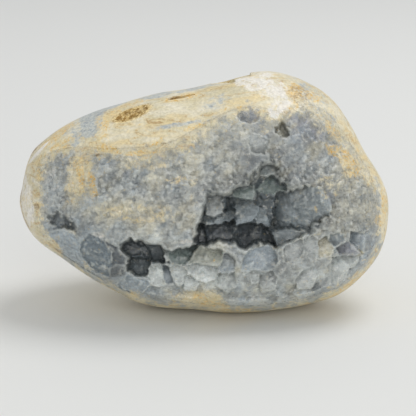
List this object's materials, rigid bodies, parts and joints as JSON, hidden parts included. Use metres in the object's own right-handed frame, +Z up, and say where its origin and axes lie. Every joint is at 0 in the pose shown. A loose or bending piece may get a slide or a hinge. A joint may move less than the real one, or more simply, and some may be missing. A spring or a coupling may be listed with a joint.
{
  "type": "celestite geode",
  "caption": "Ground egg-shaped limestone nodule, open at the front on a hollow lined with blocky pale blue celestite crystals.",
  "frame": {"origin": "centre of the geode's bounding box in plan, on the floor that it rests on", "axes": "+X along the length, to the right as the opening is looked at; +Y towards the back, away from the opening; +Z up"},
  "size_m": [0.164, 0.0927, 0.1057],
  "materials": {
    "limestone": "satin",
    "celestite": "gloss"
  },
  "bodies": {
    "root": {"limestone_rind": "limestone", "celestite_crust": "celestite"}
  },
  "joints": []
}
